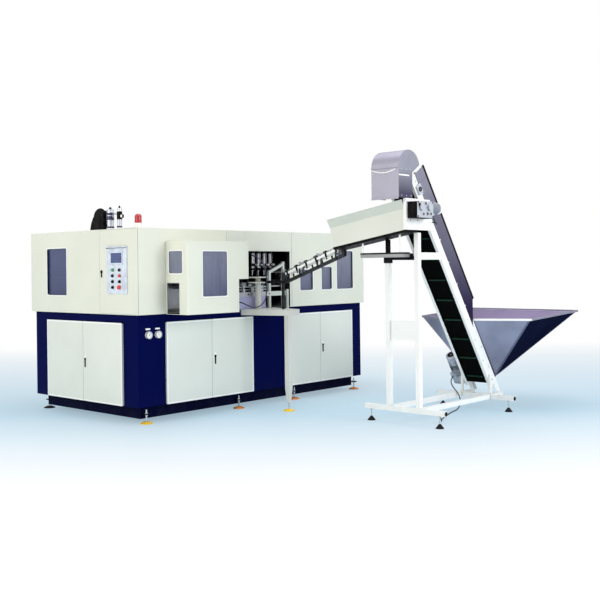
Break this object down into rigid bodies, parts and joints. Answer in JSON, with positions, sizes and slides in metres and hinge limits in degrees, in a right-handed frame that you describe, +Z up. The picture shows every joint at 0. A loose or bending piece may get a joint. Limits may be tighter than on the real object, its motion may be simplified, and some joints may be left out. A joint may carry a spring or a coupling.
{
  "type": "blow moulding machine",
  "caption": "Linear stretch blow moulding machine: long enclosed cabinet on levelling feet, with a sloping belt elevator, hopper and preform rail.",
  "frame": {"origin": "middle of the underside of the levelling pad at the cabinet's near corner, on the floor", "axes": "+X along the cabinet's long front, +Y into the cabinet's depth, +Z up"},
  "size_m": [4.365, 4.769, 2.8019],
  "materials": {
    "cream_paint": "semi-gloss cream powder coat",
    "navy_paint": "semi-gloss navy powder coat",
    "door_paint": "semi-gloss cream powder coat",
    "white_paint": "semi-gloss white powder coat",
    "steel": "brushed stainless sheet",
    "machined": "machined steel",
    "alloy": "cast and machined aluminium",
    "black_plastic": "matte black",
    "yellow_plastic": "matte yellow",
    "green_plastic": "gloss green",
    "red_plastic": "gloss red",
    "belt_rubber": "black belt with green cleats",
    "cable_rubber": "black cable sheath",
    "hose_blue": "dark blue air hose",
    "tinted_glass": "bluish tinted pane"
  },
  "bodies": {
    "machine": {"cabinet_frame": "machined", "cabinet_skins": "navy_paint", "plinth": "navy_paint", "levelling_feet": "yellow_plastic", "enclosure_frame": "white_paint", "enclosure_panels": "cream_paint", "bay_cover": "cream_paint", "window_panes": "tinted_glass", "roof_fittings": "machined", "pressure_gauges": "machined", "infeed_table": "white_paint", "infeed_frame": "white_paint", "chain_track": "machined", "heating_oven": "steel", "mould_frame": "white_paint", "cabinet_equipment": "white_paint", "elevator_base": "white_paint", "elevator_frame": "white_paint", "catch_tray": "steel", "conveyor_frame": "white_paint", "conveyor_belt": "belt_rubber", "belt_motor": "alloy", "head_hood": "steel", "feed_hopper": "steel", "orienter_trough": "white_paint", "orienter_motor": "alloy", "preform_rail": "steel", "belt_motor_cable": "cable_rubber", "orienter_motor_cable": "cable_rubber", "front_hose": "hose_blue"},
    "front_door_1_right": {"front_door_1_right": "door_paint"},
    "front_door_1_left": {"front_door_1_left": "door_paint"},
    "front_door_2_right": {"front_door_2_right": "door_paint"},
    "front_door_2_left": {"front_door_2_left": "door_paint"},
    "end_door_near": {"end_door_near": "door_paint"},
    "end_door_far": {"end_door_far": "door_paint"},
    "front_latch_1": {"front_latch_1": "black_plastic"},
    "front_latch_2": {"front_latch_2": "black_plastic"},
    "end_latch": {"end_latch": "black_plastic"},
    "control_door": {"control_door": "cream_paint", "control_console": "alloy"},
    "control_latch": {"control_latch": "black_plastic"},
    "green_push": {"green_push": "green_plastic"},
    "black_push_1": {"black_push_1": "black_plastic"},
    "black_push_2": {"black_push_2": "black_plastic"},
    "red_push": {"red_push": "red_plastic"},
    "stop_push": {"stop_push": "red_plastic"},
    "selector_1": {"selector_1": "black_plastic"},
    "selector_2": {"selector_2": "black_plastic"},
    "selector_3": {"selector_3": "black_plastic"},
    "chain_wheel_1": {"chain_wheel_1": "machined"},
    "chain_wheel_2": {"chain_wheel_2": "machined"},
    "star_wheel": {"star_wheel": "white_paint"},
    "mould_near": {"mould_near": "alloy"},
    "mould_far": {"mould_far": "alloy"},
    "stretch_carriage": {"stretch_carriage": "machined"},
    "foot_drum": {"foot_drum": "machined"},
    "head_drum": {"head_drum": "machined"},
    "orienter_roller_1": {"orienter_roller_1": "machined"},
    "orienter_roller_2": {"orienter_roller_2": "machined"}
  },
  "joints": [
    {"name": "front_door_1_right_turn", "type": "hinge", "parent": "machine", "child": "front_door_1_right", "pos_m": [1.527, -0.061, 0.62], "axis": [0, 0, 1], "range_deg": [0, 88]},
    {"name": "front_door_1_left_turn", "type": "hinge", "parent": "machine", "child": "front_door_1_left", "pos_m": [0.235, -0.061, 0.62], "axis": [0, 0, -1], "range_deg": [0, 110]},
    {"name": "front_door_2_right_turn", "type": "hinge", "parent": "machine", "child": "front_door_2_right", "pos_m": [3.367, -0.061, 0.62], "axis": [0, 0, 1], "range_deg": [0, 110]},
    {"name": "front_door_2_left_turn", "type": "hinge", "parent": "machine", "child": "front_door_2_left", "pos_m": [2.09, -0.061, 0.62], "axis": [0, 0, -1], "range_deg": [0, 110]},
    {"name": "end_door_near_turn", "type": "hinge", "parent": "machine", "child": "end_door_near", "pos_m": [-0.151, 0.205, 0.62], "axis": [0, 0, 1], "range_deg": [0, 110]},
    {"name": "end_door_far_turn", "type": "hinge", "parent": "machine", "child": "end_door_far", "pos_m": [-0.151, 1.61, 0.62], "axis": [0, 0, -1], "range_deg": [0, 110]},
    {"name": "front_latch_1_turn", "type": "hinge", "parent": "front_door_1_right", "child": "front_latch_1", "pos_m": [0.926, -0.066, 0.64567], "axis": [0, 1, 0], "range_deg": [0, 90]},
    {"name": "front_latch_2_turn", "type": "hinge", "parent": "front_door_2_right", "child": "front_latch_2", "pos_m": [2.7735, -0.066, 0.64567], "axis": [0, 1, 0], "range_deg": [0, 90]},
    {"name": "end_latch_turn", "type": "hinge", "parent": "end_door_near", "child": "end_latch", "pos_m": [-0.156, 0.8625, 0.64567], "axis": [1, 0, 0], "range_deg": [0, 90]},
    {"name": "control_door_turn", "type": "hinge", "parent": "machine", "child": "control_door", "pos_m": [-0.165, -0.075, 1.606], "axis": [0, 0, 1], "range_deg": [0, 110]},
    {"name": "control_latch_turn", "type": "hinge", "parent": "control_door", "child": "control_latch", "pos_m": [-0.173, 0.519, 1.604], "axis": [1, 0, 0], "range_deg": [0, 90]},
    {"name": "green_push_slide", "type": "slide", "parent": "control_door", "child": "green_push", "axis": [1, 0, 0], "range_m": [0, 0.005]},
    {"name": "black_push_1_slide", "type": "slide", "parent": "control_door", "child": "black_push_1", "axis": [1, 0, 0], "range_m": [0, 0.005]},
    {"name": "black_push_2_slide", "type": "slide", "parent": "control_door", "child": "black_push_2", "axis": [1, 0, 0], "range_m": [0, 0.005]},
    {"name": "red_push_slide", "type": "slide", "parent": "control_door", "child": "red_push", "axis": [1, 0, 0], "range_m": [0, 0.005]},
    {"name": "stop_push_slide", "type": "slide", "parent": "control_door", "child": "stop_push", "axis": [1, 0, 0], "range_m": [0, 0.005]},
    {"name": "selector_1_turn", "type": "hinge", "parent": "control_door", "child": "selector_1", "pos_m": [-0.185, 0.303, 1.5], "axis": [1, 0, 0], "range_deg": [0, 90]},
    {"name": "selector_2_turn", "type": "hinge", "parent": "control_door", "child": "selector_2", "pos_m": [-0.185, 0.183, 1.5], "axis": [1, 0, 0], "range_deg": [0, 90]},
    {"name": "selector_3_turn", "type": "hinge", "parent": "control_door", "child": "selector_3", "pos_m": [-0.185, 0.303, 1.439], "axis": [1, 0, 0], "range_deg": [0, 90]},
    {"name": "chain_wheel_1_turn", "type": "hinge", "parent": "machine", "child": "chain_wheel_1", "pos_m": [1.61, 0.185, 1.42], "axis": [0, 0, 1], "continuous": true},
    {"name": "chain_wheel_2_turn", "type": "hinge", "parent": "machine", "child": "chain_wheel_2", "pos_m": [3.315, 0.185, 1.42], "axis": [0, 0, 1], "continuous": true},
    {"name": "star_wheel_turn", "type": "hinge", "parent": "machine", "child": "star_wheel", "pos_m": [1.58, -0.105, 1.48], "axis": [0, 0, 1], "continuous": true},
    {"name": "mould_near_slide", "type": "slide", "parent": "machine", "child": "mould_near", "axis": [0, 1, 0], "range_m": [0, 0.1097]},
    {"name": "mould_far_slide", "type": "slide", "parent": "machine", "child": "mould_far", "axis": [0, -1, 0], "range_m": [0, 0.1097]},
    {"name": "stretch_carriage_slide", "type": "slide", "parent": "machine", "child": "stretch_carriage", "axis": [0, 0, -1], "range_m": [0, 0.24]},
    {"name": "foot_drum_turn", "type": "hinge", "parent": "machine", "child": "foot_drum", "pos_m": [3.12, -2.133, 0.33], "axis": [0, 1, 0], "continuous": true},
    {"name": "head_drum_turn", "type": "hinge", "parent": "machine", "child": "head_drum", "pos_m": [1.66986, -2.133, 2.48803], "axis": [0, 1, 0], "continuous": true},
    {"name": "orienter_roller_1_turn", "type": "hinge", "parent": "machine", "child": "orienter_roller_1", "pos_m": [1.518, -2.28597, 2.08277], "axis": [0, 0.9866, -0.1633], "continuous": true},
    {"name": "orienter_roller_2_turn", "type": "hinge", "parent": "machine", "child": "orienter_roller_2", "pos_m": [1.636, -2.28597, 2.08277], "axis": [0, 0.9866, -0.1633], "continuous": true}
  ],
  "couplings": [
    {"joint": "chain_wheel_2_turn", "follows": "chain_wheel_1_turn", "ratio": 1},
    {"joint": "star_wheel_turn", "follows": "chain_wheel_1_turn", "ratio": -1.0828},
    {"joint": "mould_far_slide", "follows": "mould_near_slide", "ratio": 1},
    {"joint": "head_drum_turn", "follows": "foot_drum_turn", "ratio": 1},
    {"joint": "orienter_roller_2_turn", "follows": "orienter_roller_1_turn", "ratio": -1}
  ]
}
